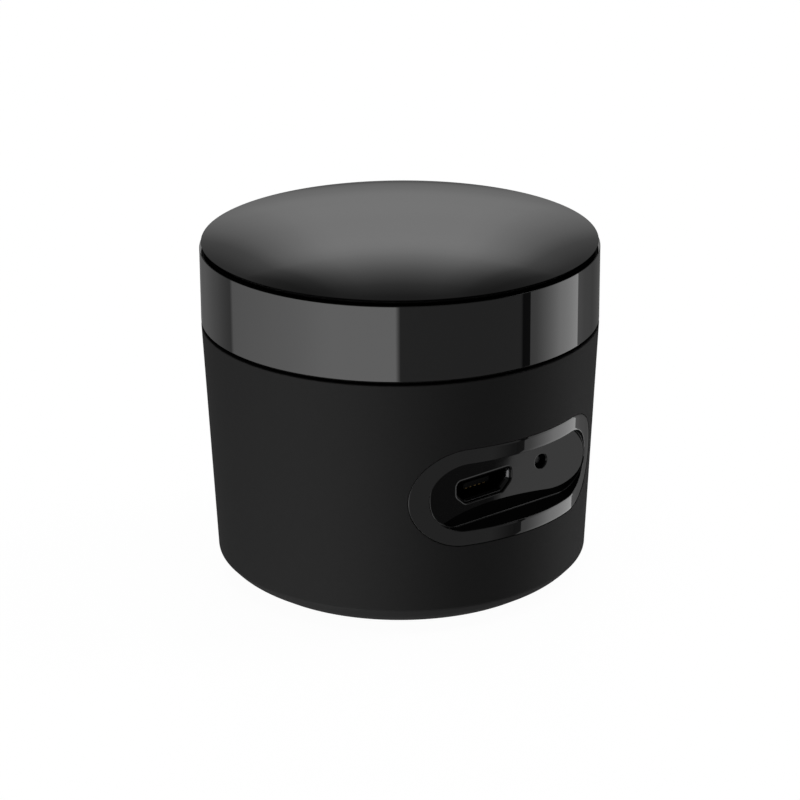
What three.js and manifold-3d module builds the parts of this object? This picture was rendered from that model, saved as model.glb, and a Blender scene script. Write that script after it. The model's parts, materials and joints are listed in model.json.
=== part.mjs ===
// Tabletop infrared remote-control hub. A tapered round housing carries a glossy
// infrared window band under a domed lid, and a port bay is sunk into its side.
// Millimetres, +Z up. The origin is the centre of the foot, and the port faces -Y.

import * as THREE from 'three';
import { mergeVertices } from 'three/addons/utils/BufferGeometryUtils.js';
import Module from 'manifold-3d';

const wasm = await Module();
wasm.setup();

// ---------- driving dimensions ----------

const FULL_TURN = 2 * Math.PI;
const GAP = 0.3; // clearance round a piece that sits in its neighbour
const REST = 0.05; // clearance under a piece that stands on its neighbour

// Outline of the housing: radius and height of each edge
const TOP_RADIUS = 23.0;
const BEVEL_RADIUS = 21.65;
const TURN_RADIUS = 20.5;
const BOTTOM_RADIUS = 18.6;
const FOOT_PROUD = 0.4;
const TURN_Z = 1.55;
const BEVEL_Z = 2.8;
const BODY_TOP_Z = 30.38;
const BAND_BOTTOM_Z = 30.8;
const BAND_TOP_Z = 39.46;
const LID_EDGE_Z = 40.13;
const CROWN_Z = 43.0;

// Shell walls, and the floor that joins the body's side to the base
const BODY_WALL = 1.8;
const BAND_WALL = 1.6;
const LID_WALL = 1.6;
const LID_RADIUS = 22.8;
const LID_UNDERSIDE_Z = 39.86;
const LIP_RADIUS = 21.05;
const LIP_WALL = 0.8;
const LIP_BOTTOM_Z = 37.2;
const SKIRT_RADIUS = 20.85;
const SKIRT_WALL = 0.95;
const SKIRT_BOTTOM_Z = 28.4;
const SHELF_Z = 31.6;
const FLOOR_Z = 6.6;

// Base and foot
const BASE_RADIUS = 17.6;
const BASE_BOTTOM_Z = 0.9;
const BASE_TOP_Z = 3.05;
const PAD_RADIUS = 16.5;
const PAD_THICKNESS = 1.3;
const PAD_CHAMFER = 0.4;

// Pillars that carry the boards, and the screws in them
const PILLAR_COUNT = 3;
const PILLAR_CIRCLE = 14.8;
const PILLAR_RADIUS = 2.3;
const PILLAR_TOP_Z = 13.25;
const PILLAR_WEB = 1.4;
const WEB_BOTTOM_Z = 4.5;
const SCREW_RADIUS = 0.8;
const SCREW_HOLE = SCREW_RADIUS + GAP;
const HEAD_RADIUS = 1.8;
const HEAD_HEIGHT = 0.75;
const BASE_SCREW_LENGTH = 6.3;
const BOARD_SCREW_LENGTH = 5;

// Boards
const BOARD_RADIUS = 19.6;
const BOARD_FLAT_Y = -16.3;
const BOARD_TOP_Z = 14.9;
const BOARD_THICKNESS = 1.6;
const LED_BOARD_RADIUS = 21.1;
const LED_BOARD_BOTTOM_Z = SHELF_Z + REST;
const LED_BOARD_TOP_Z = LED_BOARD_BOTTOM_Z + 1.2;

// Port bay: stadium outlines about its centre height, cut from well outside the housing
const OUTSIDE_Y = -30;
const PORT_Z = 16.35;
const BEZEL_HALF_WIDTH = 13.65;
const BEZEL_HALF_HEIGHT = 5.9;
const BAY_HALF_WIDTH = 11.65;
const BAY_HALF_HEIGHT = 4.08;
const BEZEL_GAP = 0.15;
const BEZEL_BACK_Y = -16.6;
const PLATE_Y = -18.95;
const PLATE_THICKNESS = 1.2;
const PLATE_GAP = 0.1;

// Socket in the bay: a micro-B receptacle, wide side up
const SOCKET_X = -3.6;
const SOCKET_Z = 16.1;
const SOCKET_LENGTH = 5.0;
const SOCKET_FRONT_Y = -18.75;
const SOCKET_WALL = 0.25;

// Reset button and its switch
const RESET_X = 4.95;
const RESET_Z = 16.88;
const RESET_HOLE_RADIUS = 0.85;
const RESET_STEM_RADIUS = 0.6;
const RESET_TIP_Y = -18.35;

// Infrared emitters
const EMITTER_COUNT = 6;
const EMITTER_RADIUS = 1.5;
const EMITTER_Z = 35.5;
const HOLDER_INNER = 8.5;
const HOLDER_OUTER = 12.7;

// Facets round a circle
const SHELL_FACETS = 60;
const ROUND_FACETS = 20;
const FINE_FACETS = 12;

// ---------- finishes ----------

const FINISHES = {
  gloss_black: { color: 0x0c0c0d, roughness: 0.08, metalness: 0 },
  band_black: { color: 0x101011, roughness: 0.05, metalness: 0 },
  soft_black: { color: 0x1b1b1c, roughness: 0.62, metalness: 0 },
  rubber: { color: 0x151515, roughness: 0.85, metalness: 0 },
  steel: { color: 0xb4b6b8, roughness: 0.35, metalness: 1 },
  brass: { color: 0xc2a25a, roughness: 0.4, metalness: 1 },
  gold: { color: 0xd8b25c, roughness: 0.3, metalness: 1 },
  board_green: { color: 0x14532f, roughness: 0.5, metalness: 0 },
  chip_black: { color: 0x18181a, roughness: 0.55, metalness: 0 },
  natural_plastic: { color: 0xd9d6cc, roughness: 0.5, metalness: 0 },
  smoke_lens: { color: 0x2a2430, roughness: 0.12, metalness: 0 },
};

// ---------- solids ----------

function solidOf(geometry) {
  const bare = geometry.clone();
  bare.deleteAttribute('normal');
  bare.deleteAttribute('uv');
  const welded = mergeVertices(bare, 1e-4);
  const corners = welded.index.array;
  const kept = [];
  for (let i = 0; i < corners.length; i += 3) {
    const [a, b, c] = [corners[i], corners[i + 1], corners[i + 2]];
    if (a !== b && b !== c && c !== a) kept.push(a, b, c);
  }
  return new wasm.Manifold(new wasm.Mesh({
    numProp: 3,
    vertProperties: new Float32Array(welded.attributes.position.array),
    triVerts: new Uint32Array(kept),
  }));
}

function geometryOf(solid) {
  const mesh = solid.getMesh();
  const geometry = new THREE.BufferGeometry();
  geometry.setAttribute('position', new THREE.BufferAttribute(mesh.vertProperties, 3));
  geometry.setIndex(new THREE.BufferAttribute(mesh.triVerts, 1));
  return geometry;
}

const join = (...solids) => solids.reduce((whole, next) => whole.add(next));
const cut = (body, ...tools) => tools.reduce((whole, tool) => whole.subtract(tool), body);

// A profile of [radius, height] pairs, anticlockwise, turned about Z
function turned(profile, facets = SHELL_FACETS) {
  const closed = [...profile, profile[0]];
  const points = closed.map(([r, z]) => new THREE.Vector2(r, z));
  return solidOf(new THREE.LatheGeometry(points, facets).rotateX(Math.PI / 2));
}

function rod(radius, z0, z1, facets = ROUND_FACETS) {
  const geometry = new THREE.CylinderGeometry(radius, radius, z1 - z0, facets);
  return solidOf(geometry.rotateX(Math.PI / 2).translate(0, 0, (z0 + z1) / 2));
}

function rodAlongY(radius, y0, y1, x, z, facets = FINE_FACETS) {
  const geometry = new THREE.CylinderGeometry(radius, radius, y1 - y0, facets);
  return solidOf(geometry.translate(x, (y0 + y1) / 2, z));
}

function block(x0, x1, y0, y1, z0, z1) {
  const geometry = new THREE.BoxGeometry(x1 - x0, y1 - y0, z1 - z0);
  return solidOf(geometry.translate((x0 + x1) / 2, (y0 + y1) / 2, (z0 + z1) / 2));
}

// A block centred on x, y that stands on height z
function slab(x, y, z, width, depth, height) {
  return block(x - width / 2, x + width / 2, y - depth / 2, y + depth / 2, z, z + height);
}

// A shape drawn in X and Z, extruded from y0 to y1
function prismAlongY(shape, y0, y1, curveSegments = FINE_FACETS) {
  const settings = { depth: y1 - y0, bevelEnabled: false, curveSegments };
  const geometry = new THREE.ExtrudeGeometry(shape, settings);
  return solidOf(geometry.rotateX(Math.PI / 2).translate(0, y1, 0));
}

function prismUp(shape, z0, z1, curveSegments = SHELL_FACETS) {
  const settings = { depth: z1 - z0, bevelEnabled: false, curveSegments };
  return solidOf(new THREE.ExtrudeGeometry(shape, settings).translate(0, 0, z0));
}

function stadium(halfWidth, halfHeight, centreZ) {
  const shape = new THREE.Shape();
  const straight = halfWidth - halfHeight;
  shape.absarc(straight, centreZ, halfHeight, -Math.PI / 2, Math.PI / 2, false);
  shape.absarc(-straight, centreZ, halfHeight, Math.PI / 2, 1.5 * Math.PI, false);
  return shape;
}

// ---------- the assembly ----------

const hub = new THREE.Group();

function piece(name, solid, finish, parent = hub) {
  const material = new THREE.MeshStandardMaterial(FINISHES[finish]);
  const mesh = new THREE.Mesh(geometryOf(solid), material);
  mesh.name = name;
  parent.add(mesh);
  return mesh;
}

// Calls make(index, x, y, angle) for each place on the pillar circle
function eachPillar(make) {
  for (let i = 0; i < PILLAR_COUNT; i += 1) {
    const angle = Math.PI / 2 + (i * FULL_TURN) / PILLAR_COUNT;
    make(i + 1, PILLAR_CIRCLE * Math.cos(angle), PILLAR_CIRCLE * Math.sin(angle), angle);
  }
}

// A pan-head screw whose head stands on height 0, with its shank below
function screw(length) {
  const slotWidth = 0.5;
  const slotReach = 1.1;
  const slotFloor = HEAD_HEIGHT - 0.4;
  const cross = join(
    block(-slotReach, slotReach, -slotWidth / 2, slotWidth / 2, slotFloor, HEAD_HEIGHT + 1),
    block(-slotWidth / 2, slotWidth / 2, -slotReach, slotReach, slotFloor, HEAD_HEIGHT + 1),
  );
  const head = rod(HEAD_RADIUS, 0, HEAD_HEIGHT, ROUND_FACETS);
  return cut(join(head, rod(SCREW_RADIUS, -length, 0.1, FINE_FACETS)), cross);
}

// ---------- housing ----------

const bodyOuter = [
  [BOTTOM_RADIUS, FOOT_PROUD],
  [TURN_RADIUS, TURN_Z],
  [BEVEL_RADIUS, BEVEL_Z],
  [TOP_RADIUS, BODY_TOP_Z],
];

function bodyRadiusAt(z) {
  const rise = (z - BEVEL_Z) / (BODY_TOP_Z - BEVEL_Z);
  return BEVEL_RADIUS + rise * (TOP_RADIUS - BEVEL_RADIUS);
}

function buildBody() {
  const baseSeat = BASE_RADIUS + GAP;
  const seatTop = BASE_TOP_Z + 0.25;
  const floorRadius = bodyRadiusAt(FLOOR_Z) - BODY_WALL;
  const chamfer = 0.9;
  const shell = turned([
    ...bodyOuter,
    [TOP_RADIUS - BODY_WALL, BODY_TOP_Z],
    [floorRadius, FLOOR_Z],
    [baseSeat + chamfer, seatTop + chamfer],
    [baseSeat, seatTop],
    [baseSeat, FOOT_PROUD],
  ]);
  let body = shell;
  const webReach = floorRadius + 0.6;
  const webHeight = PILLAR_TOP_Z - WEB_BOTTOM_Z;
  eachPillar((index, x, y, angle) => {
    const web = new THREE.BoxGeometry(webReach - PILLAR_CIRCLE, PILLAR_WEB, webHeight);
    web.translate((webReach + PILLAR_CIRCLE) / 2, 0, WEB_BOTTOM_Z + webHeight / 2);
    const pillar = rod(PILLAR_RADIUS, seatTop, PILLAR_TOP_Z).translate([x, y, 0]);
    const bore = rod(SCREW_HOLE, 0, PILLAR_TOP_Z + 1, FINE_FACETS).translate([x, y, 0]);
    body = cut(join(body, solidOf(web.rotateZ(angle)), pillar), bore);
  });
  const bayHole = stadium(BEZEL_HALF_WIDTH, BEZEL_HALF_HEIGHT, PORT_Z);
  piece('body_shell', cut(body, prismAlongY(bayHole, OUTSIDE_Y, BEZEL_BACK_Y + 2)), 'soft_black');
}

function buildBase() {
  const padSeat = PAD_RADIUS + GAP;
  const seatZ = PAD_THICKNESS + REST;
  let plate = turned([
    [padSeat, BASE_BOTTOM_Z],
    [BASE_RADIUS, BASE_BOTTOM_Z],
    [BASE_RADIUS, BASE_TOP_Z],
    [0, BASE_TOP_Z],
    [0, seatZ],
    [padSeat, seatZ],
  ]);
  const headSeatZ = 2.2;
  eachPillar((index, x, y) => {
    const seat = rod(HEAD_RADIUS + GAP, 0, headSeatZ).translate([x, y, 0]);
    const bore = rod(SCREW_HOLE, 0, BASE_TOP_Z + 1, FINE_FACETS).translate([x, y, 0]);
    plate = cut(plate, seat, bore);
  });
  piece('base_plate', plate, 'soft_black');

  eachPillar((index, x, y) => {
    const fixing = piece(`base_screw_${index}`, screw(BASE_SCREW_LENGTH), 'steel');
    fixing.rotation.x = Math.PI;
    fixing.position.set(x, y, headSeatZ - REST);
  });

  const pad = turned([
    [0, 0],
    [PAD_RADIUS - PAD_CHAMFER, 0],
    [PAD_RADIUS, PAD_CHAMFER],
    [PAD_RADIUS, PAD_THICKNESS],
    [0, PAD_THICKNESS],
  ]);
  piece('foot_pad', pad, 'rubber');
}

function buildBand() {
  const bandInner = TOP_RADIUS - BAND_WALL;
  const band = turned([
    [TOP_RADIUS, BAND_BOTTOM_Z],
    [TOP_RADIUS, BAND_TOP_Z],
    [bandInner, BAND_TOP_Z],
    [bandInner, SHELF_Z],
    [SKIRT_RADIUS - SKIRT_WALL, SHELF_Z],
    [SKIRT_RADIUS - SKIRT_WALL, SKIRT_BOTTOM_Z],
    [SKIRT_RADIUS, SKIRT_BOTTOM_Z],
    [SKIRT_RADIUS, BAND_BOTTOM_Z],
  ]);
  piece('window_band', band, 'band_black');

  const gasketOuter = TOP_RADIUS - 0.5;
  const gasketInner = SKIRT_RADIUS + GAP;
  const gasket = turned([
    [gasketOuter, BODY_TOP_Z + REST],
    [gasketOuter, BAND_BOTTOM_Z - REST],
    [gasketInner, BAND_BOTTOM_Z - REST],
    [gasketInner, BODY_TOP_Z + REST],
  ]);
  piece('seam_gasket', gasket, 'rubber');
}

function buildLid() {
  const crownHeight = CROWN_Z - LID_EDGE_Z;
  const crownRadius = (LID_RADIUS ** 2 + crownHeight ** 2) / (2 * crownHeight);
  const domeHeight = (r, top) => top - crownRadius + Math.sqrt(crownRadius ** 2 - r ** 2);
  const outerSteps = 5;
  const innerSteps = 2;
  const lipInner = LIP_RADIUS - LIP_WALL;
  const profile = [[0, CROWN_Z - LID_WALL]];
  for (let i = 1; i <= innerSteps; i += 1) {
    const r = (lipInner * i) / innerSteps;
    profile.push([r, domeHeight(r, CROWN_Z - LID_WALL)]);
  }
  profile.push(
    [lipInner, LIP_BOTTOM_Z],
    [LIP_RADIUS, LIP_BOTTOM_Z],
    [LIP_RADIUS, LID_UNDERSIDE_Z],
    [LID_RADIUS - 0.3, LID_UNDERSIDE_Z],
  );
  for (let i = outerSteps; i >= 0; i -= 1) {
    const r = (LID_RADIUS * i) / outerSteps;
    profile.push([r, domeHeight(r, CROWN_Z)]);
  }
  piece('top_lid', turned(profile), 'gloss_black');

  const seal = turned([
    [LID_RADIUS - 0.6, BAND_TOP_Z + REST],
    [LID_RADIUS - 0.6, LID_UNDERSIDE_Z - REST],
    [LIP_RADIUS + GAP + 0.1, LID_UNDERSIDE_Z - REST],
    [LIP_RADIUS + GAP + 0.1, BAND_TOP_Z + REST],
  ]);
  piece('lid_seal', seal, 'rubber');
}

// ---------- port bay ----------

// The socket's outline grown by a margin: full width above, narrowed below
function socketShape(margin) {
  const halfTop = 3.75 + margin;
  const halfBottom = 2.65 + 0.7 * margin;
  const halfHeight = 1.12 + margin;
  const shoulder = SOCKET_Z - 0.15;
  const shape = new THREE.Shape();
  shape.moveTo(SOCKET_X - halfTop, SOCKET_Z + halfHeight);
  shape.lineTo(SOCKET_X - halfTop, shoulder);
  shape.lineTo(SOCKET_X - halfBottom, SOCKET_Z - halfHeight);
  shape.lineTo(SOCKET_X + halfBottom, SOCKET_Z - halfHeight);
  shape.lineTo(SOCKET_X + halfTop, shoulder);
  shape.lineTo(SOCKET_X + halfTop, SOCKET_Z + halfHeight);
  shape.closePath();
  return shape;
}

function buildBay() {
  const plugOutline = stadium(
    BEZEL_HALF_WIDTH - BEZEL_GAP,
    BEZEL_HALF_HEIGHT - BEZEL_GAP,
    PORT_Z,
  );
  const housingForm = turned([[0, FOOT_PROUD], ...bodyOuter, [0, BODY_TOP_Z]]);
  const plug = prismAlongY(plugOutline, OUTSIDE_Y, BEZEL_BACK_Y).intersect(housingForm);
  const bayOutline = stadium(BAY_HALF_WIDTH, BAY_HALF_HEIGHT, PORT_Z);
  const bay = prismAlongY(bayOutline, OUTSIDE_Y, BEZEL_BACK_Y + 2);
  const hookReach = BEZEL_HALF_HEIGHT + 0.7;
  const hookRoot = BEZEL_HALF_HEIGHT - 1;
  const upperHook = block(-4, 4, -19.6, -18.4, PORT_Z + hookRoot, PORT_Z + hookReach);
  const lowerHook = block(-4, 4, -19.1, -17.9, PORT_Z - hookReach, PORT_Z - hookRoot);
  piece('port_bezel', join(cut(plug, bay), upperHook, lowerHook), 'gloss_black');

  const plateOutline = stadium(BAY_HALF_WIDTH - PLATE_GAP, BAY_HALF_HEIGHT - PLATE_GAP, PORT_Z);
  const plateBack = PLATE_Y + PLATE_THICKNESS;
  const plate = cut(
    prismAlongY(plateOutline, PLATE_Y, plateBack),
    prismAlongY(socketShape(GAP + 0.03), PLATE_Y - 1, plateBack + 1),
    rodAlongY(RESET_HOLE_RADIUS, PLATE_Y - 1, plateBack + 1, RESET_X, RESET_Z, ROUND_FACETS),
  );
  piece('port_plate', plate, 'gloss_black');
}

function buildSocket() {
  const backY = SOCKET_FRONT_Y + SOCKET_LENGTH;
  const lip = prismAlongY(socketShape(0.15), SOCKET_FRONT_Y, SOCKET_FRONT_Y + 0.35);
  const can = prismAlongY(socketShape(0), SOCKET_FRONT_Y, backY);
  const hollow = prismAlongY(socketShape(-SOCKET_WALL), SOCKET_FRONT_Y - 1, backY + 1);
  piece('usb_shell', cut(join(lip, can), hollow), 'steel');

  const tongueBottom = SOCKET_Z - 0.25;
  const tongueTop = SOCKET_Z + 0.35;
  const tongue = join(
    block(SOCKET_X - 1.9, SOCKET_X + 1.9, -17.6, backY - 0.3, tongueBottom, tongueTop),
    block(SOCKET_X - 3.2, SOCKET_X + 3.2, -14.4, backY - 0.1, SOCKET_Z, SOCKET_Z + 0.7),
  );
  piece('usb_tongue', tongue, 'chip_black');

  const contactCount = 5;
  const pitch = 0.65;
  for (let i = 0; i < contactCount; i += 1) {
    const x = SOCKET_X + (i - (contactCount - 1) / 2) * pitch;
    const top = tongueBottom - REST;
    const strip = block(x - 0.16, x + 0.16, -17.4, -14.7, top - 0.16, top);
    piece(`usb_contact_${i + 1}`, strip, 'gold');
  }
}

function buildReset() {
  const stemBack = -15.0;
  const stem = rodAlongY(RESET_STEM_RADIUS, RESET_TIP_Y, stemBack, RESET_X, RESET_Z);
  const collar = rodAlongY(1.25, -17.0, -16.5, RESET_X, RESET_Z);
  piece('reset_button', join(stem, collar), 'chip_black');

  const plungerFront = stemBack + REST;
  const plunger = rodAlongY(0.8, plungerFront, -13.2, RESET_X, RESET_Z);
  piece('switch_plunger', plunger, 'natural_plastic');

  const front = -14.2;
  const back = -11.2;
  const caseTop = RESET_Z + 1.5;
  const wellBack = -12.6;
  const housing = block(RESET_X - 2.25, RESET_X + 2.25, front, back, BOARD_TOP_Z + REST, caseTop);
  const well = rodAlongY(1.15, front - 1, wellBack, RESET_X, RESET_Z);
  piece('switch_body', cut(housing, well), 'chip_black');

  const sheet = 0.2;
  const coverInner = 2.25 + 0.1;
  const coverBottom = BOARD_TOP_Z + 0.6;
  const cover = cut(
    block(
      RESET_X - coverInner - sheet, RESET_X + coverInner + sheet,
      front + 0.2, back - 0.2, coverBottom, caseTop + REST + sheet,
    ),
    block(
      RESET_X - coverInner, RESET_X + coverInner,
      front - 1, back + 1, coverBottom - 1, caseTop + REST,
    ),
  );
  piece('switch_cover', cover, 'steel');
}

// ---------- boards ----------

function boardShape(radius, flatY, holeRadius) {
  const shape = new THREE.Shape();
  const flatAngle = Math.asin(flatY / radius);
  shape.absarc(0, 0, radius, flatAngle, Math.PI - flatAngle, false);
  shape.closePath();
  eachPillar((index, x, y) => {
    const hole = new THREE.Path();
    hole.absarc(x, y, holeRadius, 0, FULL_TURN, true);
    shape.holes.push(hole);
  });
  return shape;
}

function buildMainBoard() {
  const outline = boardShape(BOARD_RADIUS, BOARD_FLAT_Y, SCREW_HOLE + 0.05);
  const bottom = BOARD_TOP_Z - BOARD_THICKNESS;
  piece('main_board', prismUp(outline, bottom, BOARD_TOP_Z, 24), 'board_green');
  const seat = BOARD_TOP_Z + REST;

  const moduleX = -6;
  const moduleY = 3;
  piece('wifi_board', slab(moduleX, moduleY, seat, 12, 15, 0.8), 'board_green');
  const shieldSeat = seat + 0.8 + REST;
  piece('wifi_shield', slab(moduleX, moduleY - 1.6, shieldSeat, 10.6, 10.6, 1.9), 'steel');

  const chipHalf = 3.4;
  const pinOneCorner = 0.6;
  const chip = new THREE.Shape();
  chip.moveTo(-chipHalf + pinOneCorner, -chipHalf);
  chip.lineTo(chipHalf, -chipHalf);
  chip.lineTo(chipHalf, chipHalf);
  chip.lineTo(-chipHalf, chipHalf);
  chip.lineTo(-chipHalf, -chipHalf + pinOneCorner);
  chip.closePath();
  piece('control_chip', prismUp(chip, 0, 0.9), 'chip_black').position.set(7, 3, seat);

  const regulator = join(
    slab(-9, -9.5, seat + 0.1, 3.0, 1.7, 1.1),
    slab(-10, -9.5, seat, 0.45, 3.0, 0.3),
    slab(-9, -9.5, seat, 0.45, 3.0, 0.3),
    slab(-8, -9.5, seat, 0.45, 3.0, 0.3),
  );
  piece('regulator', regulator, 'chip_black');
  piece('power_inductor', slab(5.8, -6.2, seat, 4.2, 4.2, 2.1), 'chip_black');
  piece('crystal', slab(7, 8.6, seat, 3.2, 2.5, 0.8), 'steel');

  const can = turned([
    [0, 0],
    [2.4, 0],
    [2.5, 0.3],
    [2.5, 5.2],
    [2.3, 5.4],
    [0, 5.4],
  ], ROUND_FACETS);
  piece('capacitor', can, 'steel').position.set(14, 3.2, seat);
}

function buildLink() {
  const x = 7.6;
  const y = 12.4;
  const pinCount = 4;
  const pitch = 2.54;
  const length = pinCount * pitch;
  const pinTop = 30.2;
  const socketBottom = 26.4;
  let header = slab(x, y, BOARD_TOP_Z + REST, length, 2.5, 2.5);
  let socket = slab(x, y, socketBottom, length, 2.5, LED_BOARD_BOTTOM_Z - REST - socketBottom);
  for (let i = 0; i < pinCount; i += 1) {
    const pinX = x + (i - (pinCount - 1) / 2) * pitch;
    header = join(header, slab(pinX, y, BOARD_TOP_Z + 1, 0.64, 0.64, pinTop - BOARD_TOP_Z - 1));
    socket = cut(socket, slab(pinX, y, socketBottom - 1, 1.24, 1.24, pinTop - socketBottom + 1.3));
  }
  piece('link_header', header, 'chip_black');
  piece('link_socket', socket, 'chip_black');
}

function buildLedBoard() {
  const outline = boardShape(LED_BOARD_RADIUS, -20.6, SCREW_HOLE);
  piece('led_board', prismUp(outline, LED_BOARD_BOTTOM_Z, LED_BOARD_TOP_Z, 24), 'board_green');

  const hexRadius = 1.9;
  const studDepth = 5.4;
  const threadDepth = 5;
  const foot = BOARD_TOP_Z + REST;
  const head = LED_BOARD_BOTTOM_Z - REST;
  const standoff = cut(
    join(rod(hexRadius, foot, head, 6), rod(SCREW_RADIUS, foot - studDepth, foot + 1, FINE_FACETS)),
    rod(SCREW_HOLE, head - threadDepth, head + 1, FINE_FACETS),
  );
  eachPillar((index, x, y) => {
    piece(`standoff_${index}`, standoff, 'brass').position.set(x, y, 0);
    const fixing = piece(`board_screw_${index}`, screw(BOARD_SCREW_LENGTH), 'steel');
    fixing.position.set(x, y, LED_BOARD_TOP_Z + REST);
  });
}

// One emitter points along +X at the height of the ring
function emitterSolid() {
  const flangeX = 7.5;
  const domeX = 13.2;
  const profile = [
    [0, flangeX],
    [1.8, flangeX],
    [1.8, flangeX + 0.7],
    [EMITTER_RADIUS, flangeX + 0.7],
  ];
  const domeSteps = 3;
  for (let i = 0; i <= domeSteps; i += 1) {
    const angle = (i * Math.PI) / 2 / domeSteps;
    profile.push([EMITTER_RADIUS * Math.cos(angle), domeX + EMITTER_RADIUS * Math.sin(angle)]);
  }
  profile[profile.length - 1][0] = 0;
  const bulb = turned(profile, FINE_FACETS).rotate([0, 90, 0]).translate([0, 0, EMITTER_Z]);
  const legFoot = LED_BOARD_TOP_Z + REST;
  const legs = [-0.8, 0.8].map((side) => join(
    block(6.9, 7.35, side - 0.22, side + 0.22, legFoot, EMITTER_Z + 0.22),
    block(6.9, flangeX + 0.2, side - 0.22, side + 0.22, EMITTER_Z - 0.22, EMITTER_Z + 0.22),
  ));
  return join(bulb, ...legs);
}

function buildEmitters() {
  let holder = turned([
    [HOLDER_OUTER, LED_BOARD_TOP_Z + 0.15],
    [HOLDER_OUTER, EMITTER_Z + 2.5],
    [HOLDER_INNER, EMITTER_Z + 2.5],
    [HOLDER_INNER, LED_BOARD_TOP_Z + 0.15],
  ], 36);
  const emitter = emitterSolid();
  const bore = rod(EMITTER_RADIUS + GAP, 5, 20).rotate([0, 90, 0]).translate([0, 0, EMITTER_Z]);
  for (let i = 0; i < EMITTER_COUNT; i += 1) {
    const turn = (i * 360) / EMITTER_COUNT;
    holder = cut(holder, bore.rotate([0, 0, turn]));
    const arm = new THREE.Group();
    arm.rotation.z = THREE.MathUtils.degToRad(turn);
    hub.add(arm);
    piece(`ir_led_${i + 1}`, emitter, 'smoke_lens', arm);
  }
  piece('led_holder', holder, 'natural_plastic');

  const seat = LED_BOARD_TOP_Z + REST;
  const lens = new THREE.SphereGeometry(1.9, 16, 12).translate(0, 0, seat + 4.4);
  piece('ir_receiver', join(slab(0, 0, seat, 5, 4, 4.6), solidOf(lens)), 'smoke_lens');
  const shieldWall = 0.2;
  const shield = cut(
    slab(0, 0, seat + 0.1, 5.6 + 2 * shieldWall, 4.6 + 2 * shieldWall, 3.9),
    slab(0, 0, seat - 1, 5.6, 4.6, 8),
  );
  piece('receiver_shield', shield, 'steel');
  piece('status_led', slab(0, -17.4, seat, 1.6, 0.8, 0.6), 'natural_plastic');
}

buildBody();
buildBase();
buildBand();
buildLid();
buildBay();
buildSocket();
buildReset();
buildMainBoard();
buildLink();
buildLedBoard();
buildEmitters();

export default hub;
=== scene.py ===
"""Looks of a small round infrared remote hub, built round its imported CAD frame.

The outer shells, the port bay and the foot are rebuilt here as fine meshes that stand for
their CAD nodes. The boards, screws and electronics inside keep their CAD shape and get
materials and softened edges. Builders work in millimetres; meshes are stored in metres.
"""

import json
import math

import bmesh
import bpy
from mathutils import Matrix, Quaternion, Vector


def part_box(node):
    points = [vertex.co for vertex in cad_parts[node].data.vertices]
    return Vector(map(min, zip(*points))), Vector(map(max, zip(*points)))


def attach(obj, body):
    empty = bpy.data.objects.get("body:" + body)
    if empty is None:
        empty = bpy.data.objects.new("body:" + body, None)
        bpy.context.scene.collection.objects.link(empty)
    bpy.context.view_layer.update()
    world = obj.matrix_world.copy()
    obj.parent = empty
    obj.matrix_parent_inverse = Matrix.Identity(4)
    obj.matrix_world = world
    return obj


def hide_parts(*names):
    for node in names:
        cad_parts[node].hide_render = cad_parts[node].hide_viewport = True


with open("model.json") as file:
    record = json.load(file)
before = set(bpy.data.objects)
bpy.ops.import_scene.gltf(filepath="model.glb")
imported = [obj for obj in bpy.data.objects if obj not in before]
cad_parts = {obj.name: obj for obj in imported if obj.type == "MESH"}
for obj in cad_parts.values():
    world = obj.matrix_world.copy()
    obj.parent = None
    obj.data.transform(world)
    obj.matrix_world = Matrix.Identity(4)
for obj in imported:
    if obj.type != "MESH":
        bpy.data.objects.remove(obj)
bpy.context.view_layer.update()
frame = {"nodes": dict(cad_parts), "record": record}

# ---------------------------------------------------------------- driving dimensions, mm

MM = 0.001
HOUSING = "housing"
BUTTON = "button"


def box_mm(node):
    """The low and high corners of a CAD node's box."""
    low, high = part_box(node)
    return Vector(low) / MM, Vector(high) / MM


body_low, body_high = box_mm("body_shell")
band_low, band_high = box_mm("window_band")
lid_low, lid_high = box_mm("top_lid")
plate_low, plate_high = box_mm("port_plate")
base_high = box_mm("base_plate")[1]
pad_high = box_mm("foot_pad")[1]
socket_low, socket_high = box_mm("usb_shell")
tip_low, tip_high = box_mm("reset_button")

TOP_RADIUS = body_high.x
BODY_BOTTOM_Z = body_low.z
BODY_TOP_Z = body_high.z
BOTTOM_RADIUS = TOP_RADIUS - 4.4
TURN_RADIUS = TOP_RADIUS - 2.5
TURN_Z = BODY_BOTTOM_Z + 1.15
BEVEL_RADIUS = TOP_RADIUS - 1.35
BEVEL_Z = BODY_BOTTOM_Z + 2.4
BODY_WALL = 1.8
BODY_FLOOR_Z = BEVEL_Z + 3.8

SEAM = 0.42
BAND_BOTTOM_Z = BODY_TOP_Z + SEAM
BAND_TOP_Z = band_high.z
BAND_WALL = 1.6
SHELF_Z = BAND_BOTTOM_Z + 0.85
SKIRT_RADIUS = TOP_RADIUS - 2.15
SKIRT_WALL = 0.95

LID_RADIUS = lid_high.x
LID_EDGE_Z = BAND_TOP_Z + 0.67
LID_UNDERSIDE_Z = BAND_TOP_Z + 0.4
LID_WALL = 1.6
LIP_RADIUS = LID_RADIUS - 1.75
LIP_WALL = 0.8

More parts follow.
